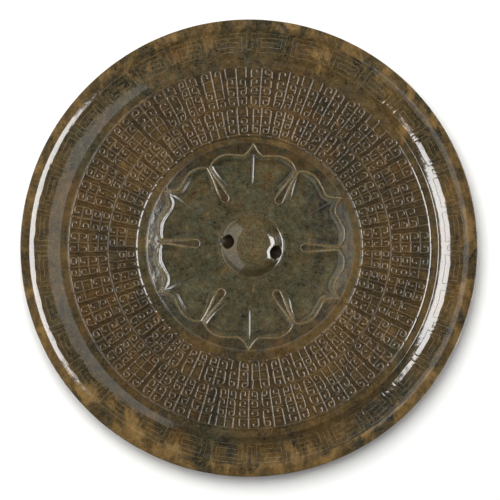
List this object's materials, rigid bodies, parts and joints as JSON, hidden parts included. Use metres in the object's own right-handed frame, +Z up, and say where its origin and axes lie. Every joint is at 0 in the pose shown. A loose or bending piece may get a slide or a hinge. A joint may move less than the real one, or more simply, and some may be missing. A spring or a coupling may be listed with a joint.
{
  "type": "jade mirror",
  "caption": "A round carved jade mirror lying on its polished face: a hollow rim, bands of scrolls, a six-petal flower in a shallow well and a central boss pierced for a cord.",
  "frame": {"origin": "centre of the flat polished face that the disc lies on", "axes": "+Z runs up through the boss, out of the carved back; +Y runs towards the top of the picture; +X runs to its right"},
  "size_m": [0.18, 0.18, 0.0125],
  "materials": {
    "jade": "polished nephrite, mottled olive, grey-green and russet brown"
  },
  "bodies": {
    "root": {"mirror_disc": "jade"}
  },
  "joints": []
}
